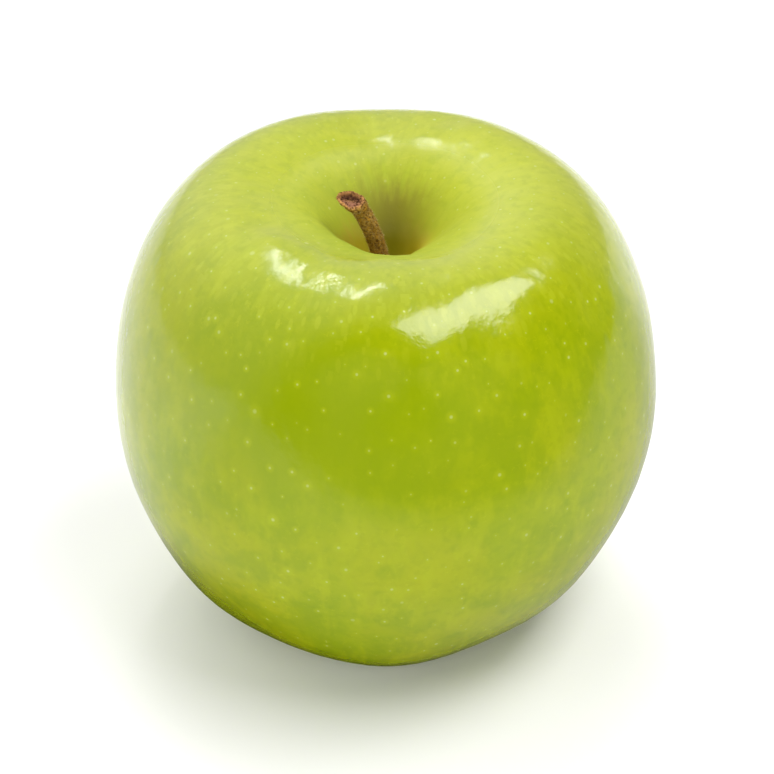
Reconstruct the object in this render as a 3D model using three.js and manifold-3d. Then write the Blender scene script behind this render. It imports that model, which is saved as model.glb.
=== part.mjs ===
// A green apple standing on its blossom end: the fruit, its woody stalk and the dried calyx underneath.
// Millimetres, +Z up. The origin is on the fruit's axis, in the plane that the fruit stands on.
import * as THREE from "three";
import { mergeVertices } from "three/addons/utils/BufferGeometryUtils.js";
import Module from "manifold-3d";

const LOBES = 5; // one for each seed chamber
const LOBE_AZIMUTH = -Math.PI / 2; // the middle of the first lobe
const FITTED_GAP = 0.3; // between pieces that sit in one another

// Driving dimensions of the fruit
const CHEEK_RADIUS = 38; // half of the widest diameter, 37 mm above the standing plane
const SOCKET_RADIUS = 1.5; // the hole that the stalk's root stands in
const SOCKET_DEPTH = 3;
const SOCKET_TOP = 53.2; // floor of the stalk cavity
const RECESS_RADIUS = 3; // the pit that the calyx tube sits in
const RECESS_DEPTH = 1.6;
const RECESS_MOUTH = 8.2; // roof of the calyx basin
const FRUIT_COLUMNS = 80;
const STEPS_PER_SPAN = 3;

// Half of the fruit's section as [distance from the axis, height]: the poles of a cubic B-spline that
// runs from the stalk's socket out over the shoulder, down the cheek and under the foot to the calyx.
const skinPoles = [
  [SOCKET_RADIUS, SOCKET_TOP],
  [3.2, 53.5],
  [4.8, 56.2],
  [6.4, 59.8],
  [9.6, 63.3], // lip
  [15.4, 66.6],
  [22.8, 67.8], // crest of the shoulder
  [29.4, 64.7],
  [34.7, 56.2],
  [CHEEK_RADIUS, 44.1],
  [CHEEK_RADIUS + 0.35, 29.8], // cheek
  [34.0, 17.3],
  [27.4, 6.5],
  [19.3, 1.1],
  [12.4, -1.5], // foot, cut flat where it would pass below the standing plane
  [8.2, 1.6],
  [6.2, 5.6], // wall of the calyx basin
  [4.4, 7.9],
  [RECESS_RADIUS, RECESS_MOUTH],
];

// How the fruit departs from a turned shape
const foot = {
  reach: 17, // height over which its lobes fade out
  swell: 0.006, // share of the radius that a lobe adds low on the cheek
  lift: 0.6, // how far it rises between two lobes
  bulge: 0.5, // how much fuller it is on one side
  bulgeAzimuth: Math.PI,
};
const shoulder = {
  ripple: 0.2, // how far the lobes lift it
  tilt: 0.4, // how much higher it stands on one side, 30 mm from the axis
  tiltAzimuth: Math.PI * 1.35,
};
const lip = {
  swell: 0.8, // a rounded swelling on one side of the stalk cavity
  azimuth: Math.PI * 1.04,
  halfAngle: 0.8,
  radius: 10,
  halfWidth: 4.5,
};

// Driving dimensions of the stalk
const stalk = {
  rootRadius: 1.15,
  shaftRadius: 1.04,
  scarRadius: 1.95, // the flared end where it came off the spur
  scarWall: 0.5,
  scarDepth: 0.65,
  flareStart: 0.82, // share of the length below the flare
  scarNormal: new THREE.Vector3(0.2, -0.14, 1).normalize(), // the scar lies almost level
  columns: 22,
  shaftRows: 22,
};
const stalkLine = [
  [0, 0, SOCKET_TOP - SOCKET_DEPTH + FITTED_GAP],
  [0, 0, SOCKET_TOP],
  [-0.75, -0.2, 57.3],
  [-1.75, -0.5, 61.2],
  [-3.05, -0.95, 64.6],
  [-4.75, -1.55, 67.3],
];

// Driving dimensions of the calyx
const tube = {
  radius: RECESS_RADIUS - FITTED_GAP,
  floorShare: 0.9, // its floor is narrower than its top
  top: RECESS_MOUTH + RECESS_DEPTH - FITTED_GAP,
  floor: 7.0,
  sides: 30,
};
const sepal = {
  halfWidth: 1.35,
  tipHalfWidth: 0.32,
  halfThickness: 0.33,
  rib: [
    [1.9, 7.5], // distance from the axis, height
    [2.25, 6.2],
    [1.7, 4.9],
    [1.35, 3.9],
  ],
  tip: [
    [2.3, 2.8],
    [3.9, 2.7],
  ],
  reachSpread: 0.12, // how unequal the tips are
  rows: 14,
  columns: 10,
};
const stamen = {
  count: 9,
  radius: 0.3,
  length: 2.6,
  lengthSpread: 0.6,
  ring: 0.9, // distance of the roots from the axis
  rows: 4,
  columns: 6,
};

const smooth = THREE.MathUtils.smoothstep;
const bell = (x) => Math.exp(-x * x);

// A point of the cubic B-spline through its first and last pole; t runs from 0 to the number of spans.
function splinePoint(poles, t) {
  const last = poles.length - 1;
  const mirrored = (end, next) => [2 * end[0] - next[0], 2 * end[1] - next[1]];
  const pole = (i) => {
    if (i < 0) return mirrored(poles[0], poles[1]);
    if (i > last) return mirrored(poles[last], poles[last - 1]);
    return poles[i];
  };
  const span = Math.min(Math.floor(t), last - 1);
  const f = t - span;
  const weights = [
    (1 - f) ** 3 / 6,
    (3 * f ** 3 - 6 * f ** 2 + 4) / 6,
    (-3 * f ** 3 + 3 * f ** 2 + 3 * f + 1) / 6,
    f ** 3 / 6,
  ];
  return [0, 1].map((axis) => weights.reduce((sum, w, k) => sum + w * pole(span - 1 + k)[axis], 0));
}

// A closed surface of stacked rings. at(row, azimuth) gives a point; the first and last rows are its poles.
function ringSurface(rows, columns, at) {
  const position = [...at(0, 0)];
  for (let row = 1; row < rows; row++) {
    for (let column = 0; column < columns; column++) {
      position.push(...at(row, (2 * Math.PI * column) / columns));
    }
  }
  position.push(...at(rows, 0));
  const end = position.length / 3 - 1;
  const vertex = (row, column) => 1 + (row - 1) * columns + (column % columns);
  const index = [];
  for (let column = 0; column < columns; column++) {
    index.push(0, vertex(1, column), vertex(1, column + 1));
    for (let row = 1; row < rows - 1; row++) {
      const [a, b] = [vertex(row, column), vertex(row, column + 1)];
      const [c, d] = [vertex(row + 1, column), vertex(row + 1, column + 1)];
      index.push(a, c, d, a, d, b);
    }
    index.push(end, vertex(rows - 1, column + 1), vertex(rows - 1, column));
  }
  const geometry = new THREE.BufferGeometry();
  geometry.setAttribute("position", new THREE.Float32BufferAttribute(position, 3));
  geometry.setIndex(index);
  geometry.computeVertexNormals();
  return geometry;
}

// The skin at a point of the turned section: lobes and a bulge low down, and above them a rippled, tilted
// shoulder and the swelling on the lip.
function skinPoint(radius, height, azimuth) {
  const lobe = Math.cos(LOBES * (azimuth - LOBE_AZIMUTH));
  const low = bell(height / foot.reach) * smooth(radius, RECESS_RADIUS, 10);
  const fuller = low * smooth(radius, RECESS_RADIUS, 25) * Math.cos(azimuth - foot.bulgeAzimuth);
  const widened = radius * (1 + foot.swell * low * lobe) + foot.bulge * fuller;
  const high = smooth(height, 50, 64) * smooth(radius, 3, 12);
  const tilted = smooth(height, 30, 68) * (radius / 30) * Math.cos(azimuth - shoulder.tiltAzimuth);
  const fromLip = Math.atan2(Math.sin(azimuth - lip.azimuth), Math.cos(azimuth - lip.azimuth));
  const aroundLip = bell((radius - lip.radius) / lip.halfWidth) * bell(fromLip / lip.halfAngle);
  const onLip = aroundLip * smooth(height, 55, 60);
  const raised = shoulder.ripple * high * lobe + shoulder.tilt * tilted + lip.swell * onLip;
  const lifted = height + (foot.lift * low * (1 - lobe)) / 2 + raised;
  return [widened * Math.cos(azimuth), widened * Math.sin(azimuth), Math.max(lifted, 0)];
}

// The fruit: its uneven skin, closed by the stalk's socket above and the calyx pit below.
function fruitGeometry() {
  const steps = (skinPoles.length - 1) * STEPS_PER_SPAN;
  const outline = Array.from({ length: steps + 1 }, (_, i) => splinePoint(skinPoles, i / STEPS_PER_SPAN));
  const section = [
    [0, SOCKET_TOP - SOCKET_DEPTH],
    [SOCKET_RADIUS, SOCKET_TOP - SOCKET_DEPTH],
    ...outline,
    [RECESS_RADIUS, RECESS_MOUTH + RECESS_DEPTH],
    [0, RECESS_MOUTH + RECESS_DEPTH],
  ];
  const at = (row, azimuth) => skinPoint(...section[row], azimuth);
  return ringSurface(section.length - 1, FRUIT_COLUMNS, at);
}

// The stalk: rings along a leaning line, flared at the top round a hollow scar with a ragged rim.
function stalkGeometry() {
  const line = new THREE.CatmullRomCurve3(stalkLine.map((p) => new THREE.Vector3(...p)));
  const { rootRadius, shaftRadius, scarRadius, scarWall, scarDepth, flareStart } = stalk;
  const radiusAlong = (s) =>
    THREE.MathUtils.lerp(rootRadius, shaftRadius, smooth(s, 0.1, 0.6)) +
    (scarRadius - shaftRadius) * smooth(s, flareStart, 1) ** 1.3;
  const shaft = Array.from({ length: stalk.shaftRows + 1 }, (_, i) => {
    const s = i / stalk.shaftRows;
    return { s, radius: radiusAlong(s), sunk: 0 };
  });
  const stations = [
    { s: 0, radius: 0, sunk: 0 },
    ...shaft,
    { s: 1, radius: scarRadius - scarWall * 0.5, sunk: -0.12 },
    { s: 1, radius: scarRadius - scarWall, sunk: 0.2 },
    { s: 1, radius: scarRadius - scarWall * 1.5, sunk: scarDepth },
    { s: 1, radius: 0, sunk: scarDepth },
  ];
  return ringSurface(stations.length - 1, stalk.columns, (row, azimuth) => {
    const { s, radius, sunk } = stations[row];
    const along = line.getTangentAt(s).lerp(stalk.scarNormal, smooth(s, 0.7, 1)).normalize();
    const side = new THREE.Vector3(0, 1, 0).cross(along).normalize();
    const front = side.clone().cross(along);
    const flare = smooth(s, 0.85, 1);
    const uneven = 1 + 0.05 * Math.cos(2 * azimuth + 0.6) + flare * 0.06 * Math.cos(3 * azimuth + 2);
    const ragged = flare * (0.14 * Math.sin(3 * azimuth + 0.4) + 0.08 * Math.sin(7 * azimuth));
    return line
      .getPointAt(s)
      .addScaledVector(side, radius * uneven * Math.cos(azimuth))
      .addScaledVector(front, radius * uneven * Math.sin(azimuth))
      .addScaledVector(along, radius > 0 ? ragged - sunk : -sunk);
  });
}

// A flattened tube along a curve: a sepal or a stamen.
function bladeGeometry(curve, { rows, columns, across }, halfWidthAt, halfThicknessAt) {
  return ringSurface(rows, columns, (row, azimuth) => {
    const s = row / rows;
    const face = across.clone().cross(curve.getTangentAt(s)).normalize();
    return curve
      .getPointAt(s)
      .addScaledVector(across, halfWidthAt(s) * Math.cos(azimuth))
      .addScaledVector(face, halfThicknessAt(s) * Math.sin(azimuth));
  });
}

// A sepal: it stands on the tube, closes over the mouth and curls out at its tip.
function sepalGeometry(i) {
  const azimuth = LOBE_AZIMUTH + ((i + 0.5) * 2 * Math.PI) / LOBES;
  const out = new THREE.Vector3(Math.cos(azimuth), Math.sin(azimuth), 0);
  const across = new THREE.Vector3(-out.y, out.x, 0);
  const reach = 1 + sepal.reachSpread * Math.sin(2.3 * i);
  const rib = [...sepal.rib, ...sepal.tip.map(([r, z]) => [r * reach, z])];
  const curve = new THREE.CatmullRomCurve3(rib.map(([r, z]) => out.clone().multiplyScalar(r).setZ(z)));
  const halfWidthAt = (s) => {
    const belly = 0.35 + 0.65 * Math.sin(Math.PI * (0.95 - 0.6 * s));
    return Math.max(sepal.halfWidth * belly * (1 - s ** 3) ** 0.8, sepal.tipHalfWidth);
  };
  return bladeGeometry(curve, { ...sepal, across }, halfWidthAt, () => sepal.halfThickness);
}

// A stamen's stub: it hangs from the tube's floor.
function stamenGeometry(i) {
  const azimuth = (i * 2 * Math.PI) / stamen.count + 0.2;
  const splay = 0.9 + 0.35 * Math.sin(4.1 * i);
  const length = stamen.length + stamen.lengthSpread * Math.sin(2.7 * i);
  const line = [
    [stamen.ring, tube.floor + 0.4],
    [stamen.ring * 0.9, tube.floor - length * 0.5],
    [stamen.ring * 0.85 * splay, tube.floor - length],
  ];
  const curve = new THREE.CatmullRomCurve3(
    line.map(([r, z]) => new THREE.Vector3(r * Math.cos(azimuth), r * Math.sin(azimuth), z)),
  );
  const across = new THREE.Vector3(-Math.sin(azimuth), Math.cos(azimuth), 0);
  const taper = (s) => stamen.radius * (1 - 0.3 * s);
  return bladeGeometry(curve, { ...stamen, across }, taper, taper);
}

// The dried calyx: a short tube in the basin's roof with the sepals and the stubs of the stamens. They grew
// together, so they are joined in one solid.
async function calyxGeometry() {
  const wasm = await Module();
  wasm.setup();
  const solidOf = (geometry) => {
    const bare = geometry.clone();
    bare.deleteAttribute("normal");
    bare.deleteAttribute("uv");
    const merged = mergeVertices(bare, 1e-4);
    return new wasm.Manifold(
      new wasm.Mesh({
        numProp: 3,
        vertProperties: merged.attributes.position.array,
        triVerts: new Uint32Array(merged.index.array),
      }),
    );
  };
  const height = tube.top - tube.floor;
  const body = new THREE.CylinderGeometry(tube.radius, tube.radius * tube.floorShare, height, tube.sides);
  body.rotateX(Math.PI / 2).translate(0, 0, tube.floor + height / 2);
  let calyx = solidOf(body);
  for (let i = 0; i < LOBES; i++) {
    calyx = calyx.add(solidOf(sepalGeometry(i)));
  }
  for (let i = 0; i < stamen.count; i++) {
    calyx = calyx.add(solidOf(stamenGeometry(i)));
  }
  const made = calyx.getMesh();
  const geometry = new THREE.BufferGeometry();
  geometry.setAttribute("position", new THREE.BufferAttribute(made.vertProperties, made.numProp));
  geometry.setIndex(new THREE.BufferAttribute(made.triVerts, 1));
  geometry.computeVertexNormals();
  return geometry;
}

const waxedSkin = new THREE.MeshStandardMaterial({ color: "#a3b81c", roughness: 0.25, metalness: 0 });
const bark = new THREE.MeshStandardMaterial({ color: "#86692f", roughness: 0.85, metalness: 0 });
const driedLeaf = new THREE.MeshStandardMaterial({ color: "#6b5a3a", roughness: 0.9, metalness: 0 });

const apple = new THREE.Group();
for (const [name, geometry, material] of [
  ["fruit", fruitGeometry(), waxedSkin],
  ["stalk", stalkGeometry(), bark],
  ["calyx", await calyxGeometry(), driedLeaf],
]) {
  const mesh = new THREE.Mesh(geometry, material);
  mesh.name = name;
  apple.add(mesh);
}

export default apple;
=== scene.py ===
# A green apple: waxed skin with pale dots and streaks, a barky stalk and a dried calyx.
import math

import bpy
import numpy as np
from mathutils import Matrix, Vector


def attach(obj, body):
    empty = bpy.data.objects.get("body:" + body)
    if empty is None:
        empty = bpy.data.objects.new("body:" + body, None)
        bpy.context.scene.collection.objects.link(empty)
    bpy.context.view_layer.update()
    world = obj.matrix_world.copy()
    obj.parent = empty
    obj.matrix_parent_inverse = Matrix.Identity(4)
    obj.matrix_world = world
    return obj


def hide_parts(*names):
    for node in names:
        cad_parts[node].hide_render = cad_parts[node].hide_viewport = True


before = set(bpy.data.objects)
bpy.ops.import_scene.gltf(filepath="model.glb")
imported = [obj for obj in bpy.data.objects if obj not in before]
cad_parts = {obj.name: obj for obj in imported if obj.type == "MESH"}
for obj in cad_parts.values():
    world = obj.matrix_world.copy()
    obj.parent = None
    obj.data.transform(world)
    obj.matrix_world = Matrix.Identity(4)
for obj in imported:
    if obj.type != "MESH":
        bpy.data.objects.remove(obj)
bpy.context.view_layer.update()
print("frame loaded:", ", ".join(sorted(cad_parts)))

mm = 0.001
fullTurn = 2 * math.pi
lobes = 5
lobeAzimuth = -math.pi / 2  # the middle of the first lobe


# camera, at the photograph's angle

lens = {
    "elevation": math.radians(34),
    "distance": 0.7,
    "target": (0.00019, 0.0, 0.03537),
    "focalPixels": 4972,
    "framePixels": 774,
    "sensor": 36,
}


def addObject(name, data):
    # an object for the data, linked to the scene
    thing = bpy.data.objects.new(name, data)
    bpy.context.scene.collection.objects.link(thing)
    return thing


def makeCamera():
    # stands in front of the fruit (-Y) and looks down at the target
    data = bpy.data.cameras.new("camera")
    camera = addObject("camera", data)
    away = Vector((0, -math.cos(lens["elevation"]), math.sin(lens["elevation"])))
    camera.location = Vector(lens["target"]) + lens["distance"] * away
    camera.rotation_euler = (math.pi / 2 - lens["elevation"], 0, 0)
    data.sensor_width = lens["sensor"]
    data.lens = lens["focalPixels"] / lens["framePixels"] * lens["sensor"]
    data.clip_end = 20
    bpy.context.scene.camera = camera


makeCamera()
print("camera placed")


# shared shape maths, on whole arrays

def smooth(x, low, high):
    # 0 below low, 1 above high, and 3 t^2 - 2 t^3 between them
    t = np.clip((x - low) / (high - low), 0, 1)
    return t * t * (3 - 2 * t)


def bell(x):
    # e to the minus x^2
    return np.exp(-x * x)


def unit(v):
    # each vector divided by its own length
    return v / np.linalg.norm(v, axis=-1, keepdims=True)


def splineRows(poles, rowsPerSpan):
    # uniform cubic B-spline; the end poles are mirrored, so it starts and ends on them
    poles = np.array(poles, float)
    poles = np.vstack([2 * poles[0] - poles[1], poles, 2 * poles[-1] - poles[-2]])
    spans = len(poles) - 3
    t = np.linspace(0, spans, spans * rowsPerSpan + 1)
    span = np.minimum(t.astype(int), spans - 1)
    f = (t - span)[:, None]
    return (
        (1 - f) ** 3 * poles[span]
        + (3 * f**3 - 6 * f**2 + 4) * poles[span + 1]
        + (-3 * f**3 + 3 * f**2 + 3 * f + 1) * poles[span + 2]
        + f**3 * poles[span + 3]
    ) / 6


def route(points, shares):
    # centripetal Catmull-Rom curve through the points, read at these shares of its length
    p = np.array(points, float)
    p = np.vstack([2 * p[0] - p[1], p, 2 * p[-1] - p[-2]])
    knots = np.linalg.norm(np.diff(p, axis=0), axis=1) ** 0.5
    f = np.linspace(0, 1, 60)[:, None]
    pieces = []
    for i in range(1, len(p) - 2):
        before, here, after = knots[i - 1 : i + 2]
        slopeIn = (p[i] - p[i - 1]) / before - (p[i + 1] - p[i - 1]) / (before + here)
        slopeIn = (slopeIn + (p[i + 1] - p[i]) / here) * here
        slopeOut = (p[i + 1] - p[i]) / here - (p[i + 2] - p[i]) / (here + after)
        slopeOut = (slopeOut + (p[i + 2] - p[i + 1]) / after) * here
        step = p[i + 1] - p[i]
        bend = 3 * step - 2 * slopeIn - slopeOut
        pieces.append(p[i] + slopeIn * f + bend * f**2 + (slopeIn + slopeOut - 2 * step) * f**3)
    line = np.vstack(pieces)
    line = line[np.r_[True, np.linalg.norm(np.diff(line, axis=0), axis=1) > 1e-9]]
    run = np.r_[0, np.cumsum(np.linalg.norm(np.diff(line, axis=0), axis=1))]
    return np.stack([np.interp(shares * run[-1], run, line[:, k]) for k in range(3)], -1)


def waves(points, wavelength, count, seed):
    # the mean of count cosines, each along a direction of its own, scaled to a spread of about 1
    draw = np.random.default_rng(seed)
    headings = unit(draw.normal(size=(count, 3))) * fullTurn / wavelength
    headings *= draw.uniform(0.75, 1.3, size=(count, 1))
    starts = draw.uniform(0, fullTurn, size=count)
    return np.cos(points @ headings.T + starts).sum(axis=-1) / math.sqrt(count / 2)


def turnsOf(count):
    # equal turns round the axis, as one row
    return (np.arange(count) * fullTurn / count)[None, :]


def flowAlong(turn, run):
    # the way round and the way along, as vectors for the streaks
    return np.stack(np.broadcast_arrays(np.cos(turn), np.sin(turn), run), -1)


def gridNormals(points):
    # cross product of the steps down the rows and round the columns, which close on themselves
    down = np.gradient(points, axis=0)
    around = np.roll(points, -1, axis=1) - np.roll(points, 1, axis=1)
    return unit(np.cross(down, around) + 1e-15)


def ringFaces(rows, columns, first=0):
    # quads between rows of points that close round the columns
    row, column = np.meshgrid(np.arange(rows - 1), np.arange(columns), indexing="ij")
    a = row * columns + column
    b = row * columns + (column + 1) % columns
    return (np.stack([a, a + columns, b + columns, b], -1).reshape(-1, 4) + first).tolist()


def fans(first, last, columns, start, end):
    # triangles from the single point start to the first row, and from the last row to the point end
    c = np.arange(columns)
    n = (c + 1) % columns
    top = np.stack([np.full(columns, start), first + c, first + n], -1)
    bottom = np.stack([np.full(columns, end), last + n, last + c], -1)
    return top.tolist() + bottom.tolist()


def closedSurface(points, start, end):
    # vertices and faces of a grid of rings, closed by a point at either end
    rows, columns = points.shape[:2]
    count = rows * columns
    vertices = np.vstack([points.reshape(-1, 3), start, end])
    faces = ringFaces(rows, columns) + fans(0, count - columns, columns, count, count + 1)
    return vertices, faces


def joinParts(parts):
    # several (vertices, faces, attributes) as one, each part's faces counted on from the last
    first, faces = 0, []
    for vertices, partFaces, _ in parts:
        faces += [[corner + first for corner in face] for face in partFaces]
        first += len(vertices)
    attributes = {name: np.concatenate([part[2][name] for part in parts]) for name in parts[0][2]}
    return np.concatenate([part[0] for part in parts]), faces, attributes


def withEnds(grid, start=0, end=0):
    # a value at every vertex of a closed surface: the grid's, then the two end points'
    return np.concatenate([grid.reshape(-1, *grid.shape[2:]), [start], [end]])


def setAttribute(mesh, name, values, domain="POINT"):
    # numbers or vectors kept with the mesh, for its material to read
    vectors = values.ndim == 2
    data = mesh.attributes.new(name, "FLOAT_VECTOR" if vectors else "FLOAT", domain).data
    data.foreach_set("vector" if vectors else "value", values.astype(np.float32).ravel())


def makePiece(name, vertices, faces, material, replaced=None, attributes=None):
    # a mesh in the frame's own place, riding on the one body
    mesh = bpy.data.meshes.new(name)
    mesh.from_pydata(vertices.tolist(), [], faces)
    mesh.polygons.foreach_set("use_smooth", np.ones(len(mesh.polygons), bool))
    for label, values in (attributes or {}).items():
        setAttribute(mesh, label, values)
    mesh.materials.append(material)
    mesh.update()
    piece = addObject(name, mesh)
    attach(piece, "root")
    if replaced:
        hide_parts(replaced)
    print(name, "made:", len(mesh.polygons), "faces")
    return mesh


# shader nodes

def fill(tree, node, values):
    # a value that is a socket is linked to the node's input, any other is set
    for key, value in values.items():
        if isinstance(value, bpy.types.NodeSocket):
            tree.links.new(value, node.inputs[key])
        else:
            node.inputs[key].default_value = value


def addNode(tree, kind, values=None, **settings):
    # one node with its settings and its inputs
    node = tree.nodes.new(kind)
    for name, value in settings.items():
        setattr(node, name, value)
    fill(tree, node, values or {})
    return node


def maths(tree, operation, a, b=0.0, c=0.0):
    return addNode(tree, "ShaderNodeMath", {0: a, 1: b, 2: c}, operation=operation).outputs[0]


def vectorMaths(tree, operation, a, b, output="Vector"):
    return addNode(tree, "ShaderNodeVectorMath", {0: a, 1: b}, operation=operation).outputs[output]


def mixColour(tree, share, first, second):
    # second over first, by share
    values = {0: share, 6: first, 7: second}
    return addNode(tree, "ShaderNodeMix", values, data_type="RGBA").outputs[2]


def layer(tree, under, mask, share, over):
    # the colour over laid on the one under, by the mask times the share
    return mixColour(tree, maths(tree, "MULTIPLY", mask, share), under, over)


def graded(tree, mask, share):
    # the first of the pair, plus the second times the mask
    return maths(tree, "MULTIPLY_ADD", mask, share[1], share[0])


def between(tree, value, low, high, bottom=0.0, top=1.0):
    # bottom at low, top at high, eased between them
    values = {"Value": value, "From Min": low, "From Max": high, "To Min": bottom, "To Max": top}
    return addNode(tree, "ShaderNodeMapRange", values, interpolation_type="SMOOTHSTEP").outputs[0]


def attribute(tree, name, output="Fac"):
    return addNode(tree, "ShaderNodeAttribute", attribute_name=name).outputs[output]


def makeGroup(name, inputs, outputs):
    # an empty shader group; an input with a default is a number, and one without is a vector
    group = bpy.data.node_groups.new(name, "ShaderNodeTree")
    for label, value in inputs.items():
        kind = "NodeSocketVector" if value is None else "NodeSocketFloat"
        socket = group.interface.new_socket(name=label, in_out="INPUT", socket_type=kind)
        if value is not None:
            socket.default_value = value
    for label in outputs:
        group.interface.new_socket(name=label, in_out="OUTPUT", socket_type="NodeSocketFloat")
    return group, group.nodes.new("NodeGroupInput").outputs, group.nodes.new("NodeGroupOutput").inputs


def makeMottling():
    # soft clouds: layered noise, eased from Low to High
    inputs = {"Vector": None, "Scale": 100.0, "Detail": 2.0, "Low": 0.35, "High": 0.65}
    group, given, result = makeGroup("mottling", inputs, ["Mask"])
    layered = {label: given[label] for label in ("Vector", "Scale", "Detail")}
    noise = addNode(group, "ShaderNodeTexNoise", layered)
    mask = between(group, noise.outputs["Fac"], given["Low"], given["High"])
    group.links.new(mask, result["Mask"])
    return group


def makeStreaks():
    # noise drawn out along the flow: fine Around the piece, long Along it
    inputs = {"Vector": None, "Around": 20.0, "Along": 2.0, "Low": 0.45, "High": 0.7}
    group, given, result = makeGroup("streaks", inputs, ["Mask"])
    stretch = {"X": given["Around"], "Y": given["Around"], "Z": given["Along"]}
    stretch = addNode(group, "ShaderNodeCombineXYZ", stretch).outputs[0]
    drawn = vectorMaths(group, "MULTIPLY", given["Vector"], stretch)
    layered = {"Vector": drawn, "Scale": 1.0, "Detail": 3.0, "Roughness": 0.6}
    noise = addNode(group, "ShaderNodeTexNoise", layered)
    mask = between(group, noise.outputs["Fac"], given["Low"], given["High"])
    group.links.new(mask, result["Mask"])
    return group


def makeCrinkles():
    # short thin wandering marks: where noise crosses one half, kept only in patches of a second noise
    inputs = {"Vector": None, "Scale": 400.0, "Width": 0.02, "Low": 0.5, "High": 0.6}
    group, given, result = makeGroup("crinkles", inputs, ["Mask"])
    fine = {"Vector": given["Vector"], "Scale": given["Scale"], "Detail": 2.0}
    noise = addNode(group, "ShaderNodeTexNoise", fine)
    level = maths(group, "ABSOLUTE", maths(group, "SUBTRACT", noise.outputs["Fac"], 0.5))
    line = between(group, level, 0.0, given["Width"], 1.0, 0.0)
    elsewhere = vectorMaths(group, "ADD", given["Vector"], (0.3, 0.1, 0.2))
    coarse = {"Vector": elsewhere, "Scale": given["Scale"], "Detail": 1.0}
    sparse = addNode(group, "ShaderNodeTexNoise", coarse)
    patch = between(group, sparse.outputs["Fac"], given["Low"], given["High"])
    group.links.new(maths(group, "MULTIPLY", line, patch), result["Mask"])
    return group


def makeSpots():
    # round spots about the cell points of a Voronoi pattern; Size and Halo are shares of the Spacing
    inputs = {"Vector": None, "Spacing": 0.003, "Size": 0.15, "Halo": 0.3}
    group, given, result = makeGroup("spots", inputs, ["Core", "Ring"])
    scale = maths(group, "DIVIDE", 1.0, given["Spacing"])
    cells = addNode(group, "ShaderNodeTexVoronoi", {"Vector": given["Vector"], "Scale": scale})
    distance = cells.outputs["Distance"]
    inner = maths(group, "MULTIPLY", given["Size"], 0.5)
    group.links.new(between(group, distance, inner, given["Size"], 1.0, 0.0), result["Core"])
    group.links.new(between(group, distance, inner, given["Halo"], 1.0, 0.0), result["Ring"])
    return group


def makeSeatMarks():
    # a round mark about a seat: Offset is the way to it in the mark's own half widths, its Z the strength
    group, given, result = makeGroup("seatMarks", {"Offset": None, "Halo": 3.0}, ["Core", "Ring"])
    parts = addNode(group, "ShaderNodeSeparateXYZ", {"Vector": given["Offset"]}).outputs
    flat = addNode(group, "ShaderNodeCombineXYZ", {"X": parts["X"], "Y": parts["Y"]}).outputs[0]
    distance = addNode(group, "ShaderNodeVectorMath", {0: flat}, operation="LENGTH").outputs["Value"]
    core = between(group, distance, 0.35, 1.25, 1.0, 0.0)
    ring = between(group, distance, 1.2, given["Halo"], 1.0, 0.0)
    group.links.new(maths(group, "MULTIPLY", core, parts["Z"]), result["Core"])
    group.links.new(maths(group, "MULTIPLY", ring, parts["Z"]), result["Ring"])
    return group


mottling = makeMottling()
streaks = makeStreaks()
crinkles = makeCrinkles()
spots = makeSpots()
seatMarks = makeSeatMarks()


def place(tree, group, values, output):
    # a group in a material, with its own values
    return addNode(tree, "ShaderNodeGroup", values, node_tree=group).outputs[output]


def maskOf(tree, group, vector, **values):
    # a group's mask about a vector, with its own values by name
    return place(tree, group, {"Vector": vector, **values}, "Mask")


def newMaterial(name):
    # an empty material, its Principled shader and the piece's own coordinates
    material = bpy.data.materials.new(name)
    material.use_nodes = True
    tree = material.node_tree
    shader = tree.nodes["Principled BSDF"]
    here = tree.nodes.new("ShaderNodeTexCoord").outputs["Object"]
    return material, tree, shader, here


def joinBumps(tree, shader, bumps):
    # bumps on one another, each (height, depth in metres), into the shader's normal
    normal = None
    for height, depth in bumps:
        values = {"Height": height, "Distance": depth, "Strength": 1.0}
        if normal is not None:
            values["Normal"] = normal
        normal = addNode(tree, "ShaderNodeBump", values).outputs[0]
    tree.links.new(normal, shader.inputs["Normal"])


# the fruit's skin

skin = {
    "deepGreen": (0.185, 0.265, 0.0005, 1),
    "green": (0.260, 0.330, 0.0005, 1),
    "yellowGreen": (0.315, 0.355, 0.002, 1),
    "smudge": (0.350, 0.400, 0.003, 1),
    "pale": (0.430, 0.460, 0.022, 1),
    "speck": (0.460, 0.470, 0.010, 1),
    "dot": (0.520, 0.550, 0.200, 1),
    "halo": (0.335, 0.395, 0.006, 1),
    "calm": (0.222, 0.292, 0.0002, 1),
    # painted light: the paler colour laid on the crest round the cavity, where it faces the lamps above
    "crestLight": (0.440, 0.490, 0.042, 1),
    "straw": (0.400, 0.440, 0.006, 1),
    "tan": (0.430, 0.335, 0.012, 1),
    "olive": (0.195, 0.178, 0.0003, 1),
    "russet": (0.170, 0.115, 0.030, 1),
    "gloss": 0.5,
    "roughness": 0.15,
    "wax": 0.12,
    "waxRoughness": 0.08,
    "grainDepth": 0.000003,
    "pebbleDepth": 0.000019,
    "dotDepth": 0.00001,
    # where each colour of the stalk cavity starts and is full, from the mouth at 0 to the floor at 1
    "strawRange": (0.12, 0.7),
    "tanRange": (0.5, 0.95),
    "oliveRange": (0.0, 0.55),
    "rayReach": 0.15,  # how far rays push these colours up
    "oliveRayReach": 0.2,
    "russetShare": (0.3, 0.6),  # everywhere in the basin, and added on its rays
    "dotRoughness": 0.12,
    "shelteredRoughness": 0.65,
}
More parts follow.
